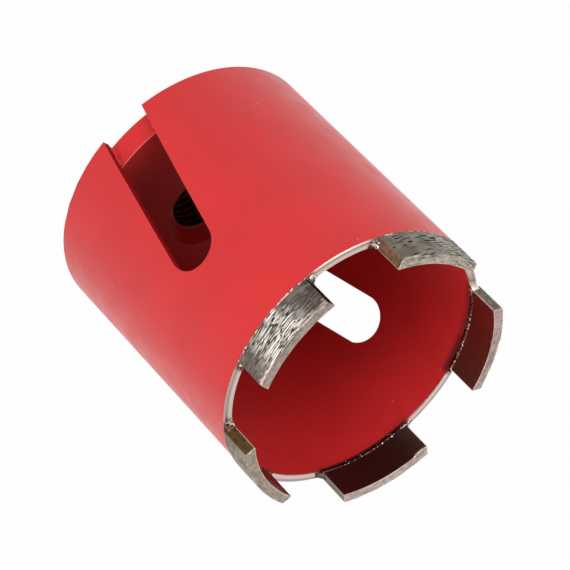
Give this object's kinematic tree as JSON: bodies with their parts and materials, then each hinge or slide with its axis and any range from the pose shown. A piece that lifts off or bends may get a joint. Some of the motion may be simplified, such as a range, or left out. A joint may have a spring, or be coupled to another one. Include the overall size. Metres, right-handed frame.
{
  "type": "diamond core bit",
  "caption": "Short dry diamond core bit: red steel barrel with leaning dust slots, soldered curved diamond segments on the rim and a threaded hub behind an inset base plate.",
  "frame": {"origin": "centre of the hub's rear face, which seats on the drill's adaptor; the bit stands on this face", "axes": "+Z along the bit's axis towards the cutting rim; the two dust slots face -Y and +Y"},
  "size_m": [0.068, 0.0676, 0.0853],
  "materials": {
    "red_enamel": "satin sprayed enamel, fired on, with bare steel at the rim",
    "sintered_segment": "sintered metal with diamond grit, ground outside",
    "silver_solder": "bright lumpy solder, heat darkened at its ends"
  },
  "bodies": {
    "root": {"barrel": "red_enamel", "threaded_base": "red_enamel", "base_weld_1": "red_enamel", "base_weld_2": "red_enamel", "segment_1": "sintered_segment", "segment_2": "sintered_segment", "segment_3": "sintered_segment", "segment_4": "sintered_segment", "segment_5": "sintered_segment", "solder_joint_1": "silver_solder", "solder_joint_2": "silver_solder", "solder_joint_3": "silver_solder", "solder_joint_4": "silver_solder", "solder_joint_5": "silver_solder"}
  },
  "joints": []
}
